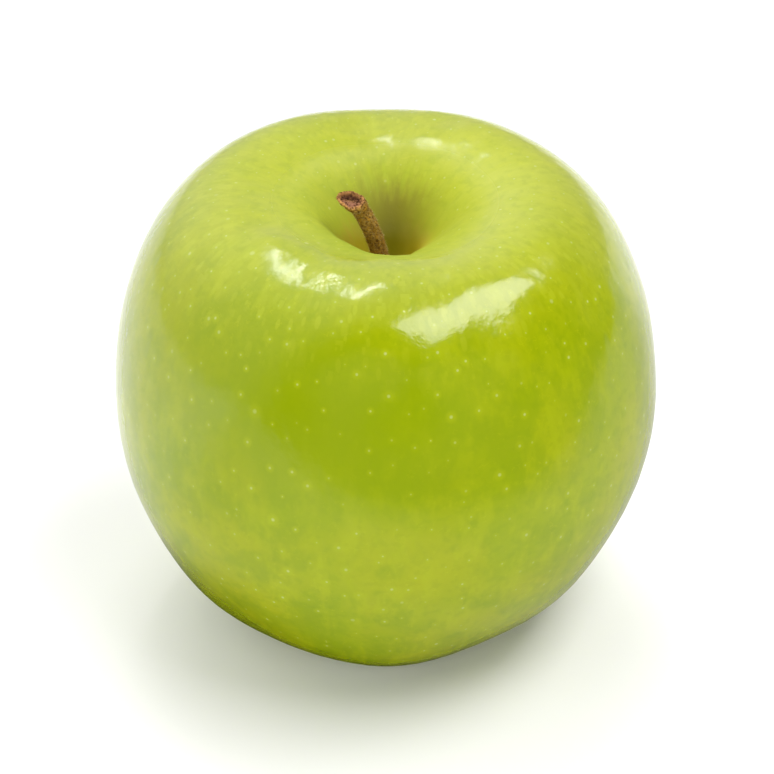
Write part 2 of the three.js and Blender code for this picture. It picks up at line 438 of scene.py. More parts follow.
# the layers in the order they are laid: mask, colour, share on the cheek and what the shoulder adds to it
skinLayers = [
    ("shoulder", "yellowGreen", 0.7, 0),
    ("patches", "deepGreen", 0.4, -0.2),
    ("paler", "pale", 0.4, 0),
    # the crest's layer is painted light
    ("crestLight", "crestLight", 0.45, 0),
    ("smudges", "smudge", 0.5, 0),
    ("dapples", "pale", 0.03, 0.2),
    ("shades", "deepGreen", 0.22, 0),
    ("crinkles", "speck", 0.22, 0.2),
    ("greener", "calm", 0.95, 0),
    ("halos", "halo", 0.6, 0),
    ("dots", "dot", 0.6, 0),
    ("flecks", "pale", 0.02, 0.28),
    ("rim", "straw", 0.7, 0),
    ("deep", "tan", 0.9, 0),
]


def makeSkinMaterial():
    # clouds of green, paler towards the stalk, with painted light on the crest round the cavity; pale dots,
    # flecks and streaks; tan and olive in the hollows
    material, tree, shader, here = newMaterial("waxedSkin")
    flow = attribute(tree, "flow", "Vector")
    dots = {"Offset": attribute(tree, "dots", "Vector"), "Halo": 4.4}
    flecks = {"Offset": attribute(tree, "flecks", "Vector"), "Halo": 2.0}
    core = place(tree, seatMarks, dots, "Core")
    rays = maskOf(tree, streaks, flow, Around=9.0, Along=7.0, Low=0.3, High=0.72)
    cavity = attribute(tree, "cavity")
    depth = maths(tree, "MULTIPLY_ADD", rays, skin["rayReach"], cavity)
    masks = {
        "patches": maskOf(tree, mottling, here, Scale=150.0, Detail=3.0, Low=0.42, High=0.6),
        "smudges": maskOf(tree, streaks, flow, Around=11.0, Along=5.0, Low=0.46, High=0.68),
        "dapples": maskOf(tree, streaks, flow, Around=19.0, Along=11.0, Low=0.5, High=0.7),
        "shades": maskOf(tree, mottling, here, Scale=700.0, Detail=4.0, Low=0.48, High=0.66),
        "crinkles": maskOf(tree, crinkles, here, Scale=800.0, Width=0.03, Low=0.55, High=0.66),
        "halos": place(tree, seatMarks, dots, "Ring"),
        "dots": core,
        "flecks": place(tree, seatMarks, flecks, "Ring"),
        "rim": between(tree, depth, *skin["strawRange"]),
        "deep": between(tree, depth, *skin["tanRange"]),
    }
    for name in ("shoulder", "paler", "crestLight", "greener"):
        masks[name] = attribute(tree, name)

    broad = maskOf(tree, mottling, here, Scale=50.0, Low=0.36, High=0.64)
    colour = mixColour(tree, broad, skin["green"], skin["yellowGreen"])
    for name, over, share, gain in skinLayers:
        if gain:
            share = graded(tree, masks["shoulder"], (share, gain))
        colour = layer(tree, colour, masks[name], share, skin[over])
    depth = maths(tree, "MULTIPLY_ADD", rays, skin["oliveRayReach"], cavity)
    shaded = between(tree, depth, *skin["oliveRange"])
    colour = layer(tree, colour, shaded, attribute(tree, "farWall"), skin["olive"])
    basin = attribute(tree, "basin")
    colour = layer(tree, colour, basin, graded(tree, rays, skin["russetShare"]), skin["russet"])

    rough = maths(tree, "MULTIPLY_ADD", core, skin["dotRoughness"], skin["roughness"])
    dull = maths(tree, "MAXIMUM", attribute(tree, "sheltered"), basin)
    rough = maths(tree, "MULTIPLY_ADD", dull, skin["shelteredRoughness"], rough)
    waxed = maths(tree, "MULTIPLY", maths(tree, "SUBTRACT", 1.0, attribute(tree, "hollow")), skin["wax"])
    fill(tree, shader, {"Base Color": colour, "Roughness": rough, "Specular IOR Level": skin["gloss"]})
    fill(tree, shader, {"Coat Weight": waxed, "Coat Roughness": skin["waxRoughness"]})

    grain = maskOf(tree, mottling, here, Scale=2600.0, Low=0.3, High=0.7)
    pebbles = maskOf(tree, mottling, here, Scale=800.0, Low=0.2, High=0.8)
    bumps = [(pebbles, skin["pebbleDepth"]), (grain, skin["grainDepth"]), (core, skin["dotDepth"])]
    joinBumps(tree, shader, bumps)
    return material


fruit = {
    "rowsPerSpan": 14,
    "columns": 320,
    "cheekRadius": 38.0,
    "socketRadius": 1.5,
    "socketDepth": 3.0,
    "socketTop": 53.2,
    "recessRadius": 3.0,
    "recessDepth": 1.6,
    "recessMouth": 8.2,
    # pairs called Heights, Radii or Run say where an effect starts and is full: in height, in distance
    # from the axis, or in length down the skin from the stalk
    "footReach": 17.0,
    "footRadius": 10,
    "footBulgeRadius": 25,
    "footSwell": 0.006,
    "footLift": 0.6,
    "footBulge": 0.5,
    "footBulgeAzimuth": math.pi,
    "shoulderRipple": 0.2,
    "rippleHeights": (50, 64),
    "rippleRadii": (3, 12),
    "shoulderTilt": 0.4,
    "shoulderTiltAzimuth": math.pi * 1.35,
    "tiltHeights": (30, 68),
    "tiltRadius": 30,
    "lipSwell": 0.8,
    "lipAzimuth": math.pi * 1.04,
    "lipRadius": 10,
    "lipReach": (4.5, 0.8),  # along the radius and round the axis
    "lipHeights": (55, 60),
    "reliefRadii": (2.5, 5),
    "broadRelief": (0.045, 17, 24, 3),  # height, wavelength, number of waves and seed
    "smallRelief": (0.009, 2.9, 40, 8),
    "furrows": (0.05, 0.42, 40, 12),
    "furrowSlant": 0.02,
    "furrowHeights": (53, 57),
    "furrowRadii": (9, 17),
    "middleHeight": 30,
    "shoulderHeights": (54, 67),
    "cavityRun": (2, 17),
    "hollowRun": (12, 21),
    "shelteredRun": (4, 9),
    "openRun": (15, 22),
    "floorShelter": 0.2,
    "basinRadii": (4, 11),
    "greenerAt": (-105, 52),  # azimuth in degrees and height of the greener cheek
    "greenerReach": (41, 13.5),
    "palerAt": (40, 66),
    "palerReach": (60, 9),
    "palerRadii": (8, 14),
    "warmerAt": (0, 32),
    "warmerReach": (42, 30),
    "warmerShare": 0.6,
    "farWallAzimuth": 82,
    "farWallReach": 40,
    # where the painted light on the crest is full and how far it reaches, in mm from the stalk
    "crestAt": 19,
    "crestReach": 7,
}
# half of the section as (distance from the axis, height), from the stalk's socket round to the calyx
skinPoles = [
    (fruit["socketRadius"], fruit["socketTop"]),
    (3.2, 53.5),
    (4.8, 56.2),
    (6.4, 59.8),
    (9.6, 63.3),
    (15.4, 66.6),
    (22.8, 67.8),
    (29.4, 64.7),
    (34.7, 56.2),
    (fruit["cheekRadius"], 44.1),
    (fruit["cheekRadius"] + 0.35, 29.8),
    (34.0, 17.3),
    (27.4, 6.5),
    (19.3, 1.1),
    (12.4, -1.5),
    (8.2, 1.6),
    (6.2, 5.6),
    (4.4, 7.9),
    (fruit["recessRadius"], fruit["recessMouth"]),
]
# the shoulder's own low swells and dips, in part rounded from trials against the highlights:
# distance from the axis, azimuth in degrees, half width, height
lipSwells = [
    (9.5, -140, 4.5, 0.7),
    (9, -120, 3, 0.5),
    (5, -15, 3, 1.3),
    (6, -50, 3, 0.9),
    (8.5, -40, 3.5, 0.5),
]
leftSwells = [
    (20, -140, 4, 0.5),
    (18.5, -128, 3, 0.4),
    (20.5, -112, 3.5, 0.4),
    (18.5, -155, 3, -0.3),
]
frontSwells = [
    (23, -110, 6.5, -0.6),
    (23, -70, 6.5, -0.5),
    (22, -65, 4, 0.4),
]
rightSwells = [
    (17, 5, 6.5, 0.4),
    (25, -25, 4, 0.3),
    (29, -62, 4, -0.3),
    (32.5, -83, 4, 0.4),
    (32.5, -55, 4, 0.5),
    (32.5, -30, 4, -0.3),
]
farSwells = [
    (16, 75, 3, 0.3),
    (20, 102, 3, -0.4),
    (22.5, 68, 3, -0.4),
    (22.5, 95, 5, -0.4),
]
shoulderSwells = lipSwells + leftSwells + frontSwells + rightSwells + farSwells
# spacing on the shoulder, at the cheek and at the calyx, half width and half length, all in mm;
# how much size and place vary, and the seed
markSets = {
    "dots": {"spacing": (3.0, 4.4, 3.4), "half": (0.17, 0.18), "spread": 0.28, "jitter": 0.27, "seed": 21},
    "flecks": {"spacing": (1.6, 3.2, 3.0), "half": (0.22, 0.55), "spread": 0.4, "jitter": 0.4, "seed": 34},
}
shoulderRun, cheekRun = 28, 60
markStrength = (0.25, 1)
goldenAngle = math.pi * (3 - math.sqrt(5))


def turnedFrom(azimuth, middle):
    # the angle from the middle, between minus and plus half a turn
    return np.angle(np.exp(1j * (azimuth - middle)))


def skinPoints(radius, height, azimuth):
    # the turned section, widened and lifted by five lobes below, tilted and rippled above
    lobe = np.cos(lobes * (azimuth - lobeAzimuth))
    foot = bell(height / fruit["footReach"])
    low = foot * smooth(radius, fruit["recessRadius"], fruit["footRadius"])
    fuller = low * smooth(radius, fruit["recessRadius"], fruit["footBulgeRadius"])
    fuller = fuller * np.cos(azimuth - fruit["footBulgeAzimuth"])
    widened = radius * (1 + fruit["footSwell"] * low * lobe) + fruit["footBulge"] * fuller
    high = smooth(height, *fruit["rippleHeights"]) * smooth(radius, *fruit["rippleRadii"])
    tilted = smooth(height, *fruit["tiltHeights"]) * (radius / fruit["tiltRadius"])
    tilted = tilted * np.cos(azimuth - fruit["shoulderTiltAzimuth"])
    width, span = fruit["lipReach"]
    onLip = bell((radius - fruit["lipRadius"]) / width)
    onLip = onLip * bell(turnedFrom(azimuth, fruit["lipAzimuth"]) / span)
    onLip = onLip * smooth(height, *fruit["lipHeights"])
    raised = fruit["shoulderRipple"] * high * lobe + fruit["shoulderTilt"] * tilted
    raised = raised + fruit["lipSwell"] * onLip
    lifted = height + fruit["footLift"] * low * (1 - lobe) / 2 + raised
    return np.stack([widened * np.cos(azimuth), widened * np.sin(azimuth), lifted], -1)


def skinRelief(points, outline):
    # swells as bells about their seats, two sets of waves, and furrows that run down into the cavity
    upper = outline[: np.argmax(outline[:, 0])]
    reach, turn, width, rise = np.array(shoulderSwells, float).T
    seats = skinPoints(reach, np.interp(reach, upper[:, 0], upper[:, 1]), np.radians(turn))
    away = np.linalg.norm(points[:, :, None] - seats, axis=-1)
    relief = (rise * bell(away / width)).sum(-1)
    for depth, *kind in (fruit["broadRelief"], fruit["smallRelief"]):
        relief += depth * waves(points, *kind)
    radius = outline[:, :1]
    outside = smooth(radius, *fruit["reliefRadii"])
    inCavity = smooth(points[..., 2], *fruit["furrowHeights"])
    inCavity = inCavity * (1 - smooth(radius, *fruit["furrowRadii"])) * outside
    around = points / np.linalg.norm(points[..., :2], axis=-1, keepdims=True) * (1, 1, 0)
    depth, *kind = fruit["furrows"]
    furrows = waves(around + fruit["furrowSlant"] * points * (0, 0, 1), *kind)
    return relief * outside + depth * furrows * inCavity


def markOffsets(mesh, points, run, outline, marks):
    # seats at equal shares of the weighted area and golden angles; each face points to its nearest seat
    draw = np.random.default_rng(marks["seed"])
    rows = np.arange(len(run))
    apart = np.r_[marks["spacing"][0], marks["spacing"]]
    spacing = np.interp(run, (0, shoulderRun, cheekRun, run[-1]), apart)
    perStep = fullTurn * outline[:, 0] / spacing**2
    total = np.r_[0, np.cumsum((perStep[1:] + perStep[:-1]) / 2 * np.diff(run))]
    count = int(total[-1])
    seat = np.arange(count) + 0.5
    row = np.interp(seat, total, rows)
    beside = draw.normal(size=(2, count)) * marks["jitter"] * np.interp(row, rows, spacing)
    row = np.interp(np.interp(row, rows, run) + beside[0], run, rows)
    distance = np.maximum(np.interp(row, rows, outline[:, 0]), 1)
    turn = (seat * goldenAngle + beside[1] / distance) % fullTurn
    upper = np.minimum(row.astype(int), len(run) - 2)
    left = (turn / fullTurn * points.shape[1]).astype(int) % points.shape[1]
    right = (left + 1) % points.shape[1]
    down = (row - upper)[:, None]
    over = (turn / fullTurn * points.shape[1] % 1)[:, None]
    above = points[upper, left] * (1 - over) + points[upper, right] * over
    below = points[upper + 1, left] * (1 - over) + points[upper + 1, right] * over
    seats = above * (1 - down) + below * down
    along = unit(below - above)
    around = unit(points[upper, right] - points[upper, left])
    size = np.exp(draw.normal(size=count) * marks["spread"])
    strength = draw.uniform(*markStrength, size=count)

    corners = np.empty(len(mesh.loops), np.int32)
    mesh.loops.foreach_get("vertex_index", corners)
    places = np.empty(len(mesh.vertices) * 3, np.float32)
    mesh.vertices.foreach_get("co", places)
    places = places.reshape(-1, 3)[corners] / mm
    sides = np.empty(len(mesh.polygons), np.int32)
    mesh.polygons.foreach_get("loop_total", sides)
    starts = np.r_[0, np.cumsum(sides)[:-1]]
    centres = np.add.reduceat(places, starts) / sides[:, None]
    nearest = np.empty(len(centres), int)
    for part in np.array_split(np.arange(len(centres)), 32):
        apart = (seats**2).sum(-1) - 2 * centres[part] @ seats.T
        nearest[part] = apart.argmin(-1)
    nearest = np.repeat(nearest, sides)
    offset = places - seats[nearest]
    x = (offset * around[nearest]).sum(-1) / (marks["half"][0] * size[nearest])
    y = (offset * along[nearest]).sum(-1) / (marks["half"][1] * size[nearest])
    return np.stack([x, y, strength[nearest]], -1)


def patchAbout(azimuth, height, middle, reach):
    # a bell round the axis times a bell in height
    turned = turnedFrom(azimuth, math.radians(middle[0]))
    return bell(turned / math.radians(reach[0])) * bell((height - middle[1]) / reach[1])


def makeFruit(material):
    # the section turned round the axis, with its relief along its normals
    outline = splineRows(skinPoles, fruit["rowsPerSpan"])
    floorOfSocket = fruit["socketTop"] - fruit["socketDepth"]
    roofOfRecess = fruit["recessMouth"] + fruit["recessDepth"]
    outline = np.vstack(
        [(fruit["socketRadius"], floorOfSocket), outline, (fruit["recessRadius"], roofOfRecess)]
    )
    run = np.r_[0, np.cumsum(np.linalg.norm(np.diff(outline, axis=0), axis=1))]
    azimuth = turnsOf(fruit["columns"])
    radius, height = outline[:, :1], outline[:, 1:]
    points = skinPoints(radius, height, azimuth)
    points = points + gridNormals(points) * skinRelief(points, outline)[..., None]
    points[..., 2] = np.maximum(points[..., 2], 0)

    everywhere = np.ones((1, fruit["columns"]))
    fromStalk = (run[:, None] - fruit["socketDepth"]) * everywhere
    above = (height > fruit["middleHeight"]) * everywhere
    greener = patchAbout(azimuth, height, fruit["greenerAt"], fruit["greenerReach"])
    paler = patchAbout(azimuth, height, fruit["palerAt"], fruit["palerReach"])
    paler = paler * smooth(radius, *fruit["palerRadii"])
    warmer = patchAbout(azimuth, height, fruit["warmerAt"], fruit["warmerReach"])
    turned = turnedFrom(azimuth, math.radians(fruit["farWallAzimuth"]))
    farWall = bell(turned / math.radians(fruit["farWallReach"]))
    # painted light on the crest round the cavity, left off the far wall
    crestLight = bell((fromStalk - fruit["crestAt"]) / fruit["crestReach"]) * (1 - farWall)
    hollow = 1 - smooth(fromStalk, *fruit["hollowRun"])
    sheltered = smooth(fromStalk, *fruit["shelteredRun"])
    sheltered = fruit["floorShelter"] + (1 - fruit["floorShelter"]) * sheltered
    sheltered = sheltered * (1 - smooth(fromStalk, *fruit["openRun"]))
    basin = (1 - smooth(radius, *fruit["basinRadii"])) * (1 - above)
    flow = flowAlong(azimuth, run[:, None] / fruit["cheekRadius"])
    attributes = {
        "flow": withEnds(flow, (0, 0, 0), (0, 0, run[-1] / fruit["cheekRadius"])),
        "cavity": withEnds(1 - smooth(fromStalk, *fruit["cavityRun"]), 1, 0),
        "shoulder": withEnds(smooth(height, *fruit["shoulderHeights"]) * above, 1, 0),
        "basin": withEnds(basin, 0, 1),
        "crestLight": withEnds(crestLight),
        "hollow": withEnds(hollow, 1, 0),
        "sheltered": withEnds(sheltered),
        "farWall": withEnds(farWall * hollow),
        "greener": withEnds(greener),
        "paler": withEnds(paler * above + fruit["warmerShare"] * warmer),
    }
    vertices, faces = closedSurface(points * mm, [(0, 0, floorOfSocket * mm)], [(0, 0, roofOfRecess * mm)])
    mesh = makePiece("fruitSkin", vertices, faces, material, "fruit", attributes)
    for name, marks in markSets.items():
        setAttribute(mesh, name, markOffsets(mesh, points, run, outline, marks), "CORNER")


makeFruit(makeSkinMaterial())


# the stalk

stalk = {
    "rows": 130,
    "columns": 72,
    "rootRadius": 1.15,
    "collarRadius": 1.46,
    "shaftRadius": 1.12,
    "scarRadius": 1.95,
    # shares of the length, from the root at 0 to the rim at 1
    "shaftRange": (0.1, 0.6),
    "collarRange": (0.15, 0.27),
    "rootedRange": (0.15, 0.25),
    "turnFrom": 0.7,
    "flareStart": 0.82,
    "raggedFrom": 0.85,
    "scarFrom": 0.965,
    "headingStep": 0.01,
    "flarePower": 1.3,
    "uneven": (0.05, 0.04),  # shares of the radius: oval, and three lobes at the rim
    "ragged": (0.10, 0.06, 0.05),  # heights of the broad, small and fine teeth of the rim
    "ridge": 0.025,
    "lumps": ((0.03, 1.6, 30, 5), (0.022, 0.62, 40, 6)),  # height, wavelength, number of waves and seed
    "rootLumps": 0.2,
    "torn": (0.07, 0.5, 30, 9),
    "scarNormal": (0.2, -0.14, 1.0),
    "scarRows": 30,
    # the scar, with places as shares of the way in from the rim at 0 to its middle at 1
    "scarCover": 0.97,
    "scarEdge": (0.35, 0.05),
    "scarSink": 0.28,
    "insideRange": (0.2, 0.45),
    "farShift": 0.14,  # on the far side the inside starts nearer the rim
    "farRange": (-0.6, 0.9),
    "rimRise": (0.16, 0.13, 0.12),  # height, middle and half width
    "holeSink": (0.36, 0.5, 0.35),
    "hollowMark": (0.4, 0.3),
    "farPith": 0.8,
    "length": 17.5,
    "line": [
        (0, 0, 50.5),
        (0, 0, 53.2),
        (-0.75, -0.2, 57.3),
        (-1.75, -0.5, 61.2),
        (-3.05, -0.95, 64.6),
        (-4.75, -1.55, 67.3),
    ],
    "bark": (0.37, 0.195, 0.022, 1),
    "pit": (0.120, 0.045, 0.002, 1),
    "bloom": (0.56, 0.37, 0.12, 1),
    "rim": (0.48, 0.235, 0.075, 1),
    "burnt": (0.09, 0.030, 0.010, 1),
    # the hollow: dark brown tissue, deepened by painted shade under the far rim
    "hollow": (0.035, 0.008, 0.001, 1),
    "pith": (0.33, 0.15, 0.085, 1),
    "fuzz": (0.62, 0.50, 0.20, 1),
    "bloomShare": 0.4,
    "pitShare": 0.3,
    "roughness": 0.8,
    "gloss": 0.12,
    "bumpDepths": (0.00009, 0.00006, 0.00005),
    "hairs": 2000,
    "hairsFrom": 40,  # the first row with hairs
    "hairLength": (0.18, 0.42),
    "hairRadius": 0.014,
}


def makeBarkMaterial():
    # tan bark with dark pits and a pale bloom; on the scar a tan rim, a dark brown hollow deepened by
    # painted shade under the far rim, and pinkish pith
    material, tree, shader, here = newMaterial("stalkBark")
    flow = attribute(tree, "flow", "Vector")
    pithy = attribute(tree, "pith")
    clouds = maskOf(tree, mottling, here, Scale=3600.0, Detail=4.0, Low=0.25, High=0.55)
    colour = mixColour(tree, clouds, stalk["pit"], stalk["bark"])
    fibre = maskOf(tree, streaks, flow, Around=3.0, Along=1.2, Low=0.42, High=0.62)
    colour = layer(tree, colour, fibre, stalk["bloomShare"], stalk["bloom"])
    pits = place(tree, spots, {"Vector": here, "Spacing": 0.00045, "Size": 0.42, "Halo": 0.7}, "Ring")
    colour = layer(tree, colour, pits, stalk["pitShare"], stalk["pit"])
    rim = mixColour(tree, clouds, stalk["burnt"], stalk["rim"])
    colour = mixColour(tree, attribute(tree, "scar"), colour, rim)
    # the hollow's dark: dark tissue and painted shade under the far rim
    colour = mixColour(tree, attribute(tree, "hollow"), colour, stalk["hollow"])
    colour = layer(tree, colour, pithy, clouds, stalk["pith"])
    surface = {"Roughness": stalk["roughness"], "Specular IOR Level": stalk["gloss"]}
    fill(tree, shader, {"Base Color": colour, **surface})
    grainDepth, pitDepth, tornDepth = stalk["bumpDepths"]
    joinBumps(tree, shader, [(clouds, grainDepth), (pits, -pitDepth), (clouds, tornDepth)])
    return material


def stalkGrid():
    # rings round a leaning line: the shaft flares into a rim that turns in round the torn scar
    shares = np.linspace(0, 1, stalk["rows"])
    root, shaft, scar = stalk["rootRadius"], stalk["shaftRadius"], stalk["scarRadius"]
    radius = root + (shaft - root) * smooth(shares, *stalk["shaftRange"])
    radius = radius + (scar - shaft) * smooth(shares, stalk["flareStart"], 1) ** stalk["flarePower"]
    radius = radius + (stalk["collarRadius"] - root) * (1 - smooth(shares, *stalk["collarRange"]))
    inward = np.linspace(0, 1, stalk["scarRows"])[1:]
    share = np.r_[shares, np.ones(len(inward))]
    turnedIn = np.r_[np.zeros(len(shares)), inward][:, None]
    radius = np.r_[radius, scar * (1 - inward * stalk["scarCover"])]
    line = route(stalk["line"], share)
    step = stalk["headingStep"]
    ahead = route(stalk["line"], np.minimum(share + step, 1))
    behind = route(stalk["line"], np.maximum(np.minimum(share + step, 1) - 2 * step, 0))
    toScar = smooth(share, stalk["turnFrom"], 1)[:, None]
    heading = unit(unit(ahead - behind) * (1 - toScar) + unit(np.array(stalk["scarNormal"])) * toScar)
    side = unit(np.cross((0, 1, 0), heading))
    front = np.cross(side, heading)
    a = turnsOf(stalk["columns"])
    flare = smooth(share, stalk["raggedFrom"], 1)[:, None]
    oval, threeLobed = stalk["uneven"]
    uneven = 1 + oval * np.cos(2 * a + 0.6) + flare * threeLobed * np.cos(3 * a + 2)
    broad, small, fine = stalk["ragged"]
    ragged = flare * (broad * np.sin(3 * a + 0.4) + small * np.sin(7 * a) + fine * np.sin(17 * a + 1))
    ridges = np.cos(9 * a + 5 * share[:, None]) + 0.8 * np.cos(14 * a - 7 * share[:, None] + 1)
    rooted = smooth(share, *stalk["rootedRange"])[:, None]
    wide = radius[:, None] * (1 + (uneven - 1) * rooted) + stalk["ridge"] * ridges * rooted * (turnedIn == 0)
    far = smooth(-np.sin(a), *stalk["farRange"])
    inside = smooth(turnedIn + stalk["farShift"] * far, *stalk["insideRange"])
    rise, middle, width = stalk["rimRise"]
    sink = -rise * bell((turnedIn - middle) / width) * (turnedIn > 0)
    deeper, middle, width = stalk["holeSink"]
    sink = sink + inside * (stalk["scarSink"] + deeper * far * bell((turnedIn - middle) / width))
    points = (
        line[:, None]
        + side[:, None] * (wide * np.cos(a))[..., None]
        + front[:, None] * (wide * np.sin(a))[..., None]
        + heading[:, None] * (ragged * radius[:, None] / scar - sink)[..., None]
    )
    lumps = sum(depth * waves(points, *kind) for depth, *kind in stalk["lumps"])
    lumps = lumps * (stalk["rootLumps"] + (1 - stalk["rootLumps"]) * rooted)
    points = points + gridNormals(points) * lumps[..., None]
    depth, *kind = stalk["torn"]
    torn = depth * waves(points, *kind) * inside
    points = points + heading[:, None] * torn[..., None]
    run = share[:, None] * stalk["length"]
    flow = flowAlong(a, run)
    nearTop = smooth(share, stalk["scarFrom"], 1)[:, None]
    edge, width = stalk["scarEdge"]
    onScar = nearTop * (edge + (1 - edge) * smooth(turnedIn, 0, width)) + 0 * a
    middle, width = stalk["hollowMark"]
    marks = {
        "flow": flow,
        "scar": onScar,
        # the far inside of the hole, under the far rim: dark tissue with painted shade
        "hollow": inside * far * bell((turnedIn - middle) / width) + 0 * a,
        "pith": inside * (1 - stalk["farPith"] * far) + 0 * a,
    }
    return points, marks, line


def makeStalk(material):
    # the rings closed at the root and at the middle of the scar
    points, marks, line = stalkGrid()
    last = points[-1].mean(axis=0)
    vertices, faces = closedSurface(points * mm, [line[0] * mm], [last * mm])
    attributes = {
        "flow": withEnds(marks["flow"], (0, 0, 0), (0, 0, stalk["length"])),
        "scar": withEnds(marks["scar"], 0, 1),
        "hollow": withEnds(marks["hollow"]),
        "pith": withEnds(marks["pith"], 0, 1),
    }
    makePiece("stalkWood", vertices, faces, material, "stalk", attributes)
    return points


def hairs(roots, normals, lengths, radius, seed):
    # thin three-sided spikes: a small triangle under the surface and a tip out along the normal, bent aside
    draw = np.random.default_rng(seed)
    lean = unit(normals + 0.55 * draw.normal(size=normals.shape))
    side = unit(np.cross(lean, draw.normal(size=normals.shape)))
    other = np.cross(lean, side)
    turns = np.arange(3) * fullTurn / 3
    ring = side[:, None] * np.cos(turns)[:, None] + other[:, None] * np.sin(turns)[:, None]
    base = roots[:, None] - 0.05 * normals[:, None] + radius * ring
    middle = roots[:, None] + (0.5 * lengths[:, None] * lean)[:, None] + 0.7 * radius * ring
    tip = roots + lengths[:, None] * unit(lean + 0.5 * draw.normal(size=normals.shape))
    vertices = np.concatenate([base, middle, tip[:, None]], axis=1).reshape(-1, 3)
    pattern = [(0, 1, 4, 3), (1, 2, 5, 4), (2, 0, 3, 5), (3, 4, 6), (4, 5, 6), (5, 3, 6), (2, 1, 0)]
    faces = [[corner + 7 * i for corner in face] for i in range(len(roots)) for face in pattern]
    return vertices, faces


def makeHairMaterial():
    # pale dry hairs, browner here and there
    material, tree, shader, here = newMaterial("paleFuzz")
    clouds = maskOf(tree, mottling, here, Scale=1200.0, Low=0.3, High=0.7)
    colour = mixColour(tree, clouds, stalk["bark"], stalk["fuzz"])
    fill(tree, shader, {"Base Color": colour, "Roughness": 0.75})
    return material


def makeStalkFuzz(points, material):
    # hairs at random vertices of the shaft and the rim's outside
    draw = np.random.default_rng(50)
    rows = draw.integers(stalk["hairsFrom"], stalk["rows"], size=stalk["hairs"])
    columns = draw.integers(0, stalk["columns"], size=stalk["hairs"])
    normals = gridNormals(points)[rows, columns]
    lengths = draw.uniform(*stalk["hairLength"], size=stalk["hairs"])
    vertices, faces = hairs(points[rows, columns], normals, lengths, stalk["hairRadius"], 51)
    makePiece("stalkFuzz", vertices * mm, faces, material)


fuzzMaterial = makeHairMaterial()
makeStalkFuzz(makeStalk(makeBarkMaterial()), fuzzMaterial)


# the dried calyx underneath

calyx = {
    "tubeRadius": 2.96,
    "cupColumns": 64,
    "sepalWidth": 1.35,
    "sepalTipWidth": 0.3,
    "sepalThickness": 0.16,
    "sepalCurl": 0.35,
    "stamens": 9,
    "stamenRadius": 0.2,
    "stamenLength": (2.6, 0.6),
    "anther": 0.34,
    "hairs": 900,
    "hairLength": (0.25, 0.7),
    "hairRadius": 0.016,
    "leaf": (0.20, 0.135, 0.060, 1),
    "dry": (0.36, 0.27, 0.14, 1),
    "vein": (0.085, 0.050, 0.022, 1),
    "green": (0.17, 0.17, 0.045, 1),
    "veinShare": 0.7,
    "greenShare": 0.5,
    "grainDepth": 0.00006,
    "veinDepth": 0.00005,
}
# half of the cup's section as (distance from the axis, height), from its top in the recess down to its mouth
cupTop, cupMouth = 9.5, 7.3
cupPoles = [
    (0.9, cupTop),
    (1.9, cupTop),
    (2.8, 9.4),
    (calyx["tubeRadius"], 9.0),
    (calyx["tubeRadius"], 8.5),
    (2.9, 8.0),
    (2.6, 7.3),
    (2.25, 6.8),
    (2.0, 6.75),
    (1.95, 6.9),
    (1.9, 7.1),
    (1.5, 7.25),
    (0.8, cupMouth),
]


def makeLeafMaterial():
    # dull brown with drier patches, veins along the flow and a trace of green
    material, tree, shader, here = newMaterial("driedLeaf")
    flow = attribute(tree, "flow", "Vector")
    clouds = maskOf(tree, mottling, here, Scale=700.0, Detail=4.0, Low=0.35, High=0.65)
    colour = mixColour(tree, clouds, calyx["leaf"], calyx["dry"])
    veins = maskOf(tree, streaks, flow, Around=4.0, Along=1.5, Low=0.5, High=0.62)
    colour = layer(tree, colour, veins, calyx["veinShare"], calyx["vein"])
    fresh = maskOf(tree, mottling, here, Scale=260.0, Low=0.5, High=0.7)
    colour = layer(tree, colour, fresh, calyx["greenShare"], calyx["green"])
    fill(tree, shader, {"Base Color": colour, "Roughness": 0.85})
    joinBumps(tree, shader, [(clouds, calyx["grainDepth"]), (veins, calyx["veinDepth"])])
    return material


def tubeAlong(line, halfWidths, halfThicknesses, outward, columns, curl=0.0):
    # an oval carried along a line; its edges bend outwards by curl times the square of the way across
    line = np.array(line)
    heading = unit(np.gradient(line, axis=0))
    across = unit(np.cross(heading, outward))
    up = np.cross(across, heading)
    a = turnsOf(columns)
    x = halfWidths[:, None] * np.cos(a)
    y = halfThicknesses[:, None] * np.sin(a) + curl * (x / halfWidths.max()) ** 2
    points = line[:, None] + across[:, None] * x[..., None] + up[:, None] * y[..., None]
    run = np.linspace(0, 1, len(line))[:, None]
    flow = flowAlong(a, 4 * run)
    vertices, faces = closedSurface(points, [line[0]], [line[-1]])
    return points, (vertices, faces, {"flow": withEnds(flow, (0, 0, 0), (0, 0, 4))})


def standing(profile, azimuth):
    # points from their distances from the axis and heights, all at one azimuth
    return [(r * math.cos(azimuth), r * math.sin(azimuth), z) for r, z in profile]


